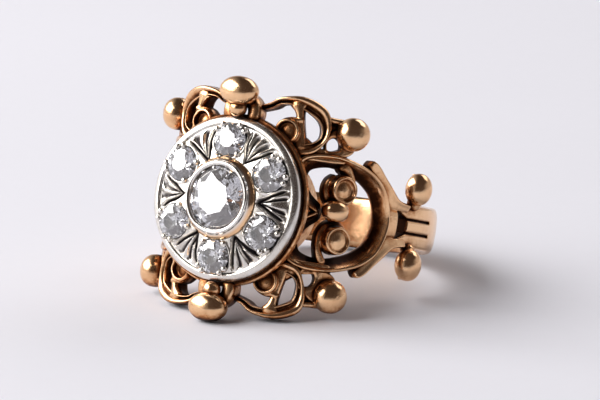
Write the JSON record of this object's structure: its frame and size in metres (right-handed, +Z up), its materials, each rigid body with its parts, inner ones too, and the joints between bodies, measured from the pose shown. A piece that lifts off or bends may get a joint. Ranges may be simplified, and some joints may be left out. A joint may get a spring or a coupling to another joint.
{
  "type": "engagement ring",
  "caption": "Openwork gold finger ring with a round white head of cut clear stones, scrolled shoulders with beads, and a plain shank.",
  "frame": {"origin": "middle of the object's box, on the surface that the ring lies on", "axes": "+Z up from that surface, -Y towards the stone head's side, +X towards the right shoulder; the finger hole's axis leans 17 degrees from +Z towards +Y"},
  "size_m": [0.0228, 0.0272, 0.0181],
  "materials": {
    "antique_gold": "polished",
    "white_gold": "polished",
    "diamond": "polished"
  },
  "bodies": {
    "root": {"shank": "antique_gold", "shoulder_fork_right": "antique_gold", "shoulder_fork_left": "antique_gold", "shank_knob_top_right": "antique_gold", "shank_knob_top_left": "antique_gold", "shank_knob_bottom_right": "antique_gold", "shank_knob_bottom_left": "antique_gold", "heart_scroll_right": "antique_gold", "heart_scroll_left": "antique_gold", "snail_scroll_top_right": "antique_gold", "snail_scroll_top_left": "antique_gold", "snail_scroll_bottom_right": "antique_gold", "snail_scroll_bottom_left": "antique_gold", "shoulder_bead_right": "antique_gold", "shoulder_bead_left": "antique_gold", "corner_scroll_top_right": "antique_gold", "corner_scroll_top_left": "antique_gold", "corner_scroll_bottom_right": "antique_gold", "corner_scroll_bottom_left": "antique_gold", "corner_tendril_top_right": "antique_gold", "corner_tendril_top_left": "antique_gold", "corner_tendril_bottom_right": "antique_gold", "corner_tendril_bottom_left": "antique_gold", "corner_eyelet_top_right": "antique_gold", "corner_eyelet_top_left": "antique_gold", "corner_eyelet_bottom_right": "antique_gold", "corner_eyelet_bottom_left": "antique_gold", "corner_bead_top_right": "antique_gold", "corner_bead_top_left": "antique_gold", "corner_bead_bottom_right": "antique_gold", "corner_bead_bottom_left": "antique_gold", "end_bead_top": "antique_gold", "end_bead_bottom": "antique_gold", "end_bracket_top": "antique_gold", "end_bracket_bottom": "antique_gold", "small_bead_top": "antique_gold", "small_bead_bottom": "antique_gold", "gallery": "antique_gold", "head_plate": "white_gold", "centre_collet": "white_gold", "setting_grains": "white_gold", "centre_diamond": "diamond", "side_diamond_1": "diamond", "side_diamond_2": "diamond", "side_diamond_3": "diamond", "side_diamond_4": "diamond", "side_diamond_5": "diamond", "side_diamond_6": "diamond"}
  },
  "joints": []
}
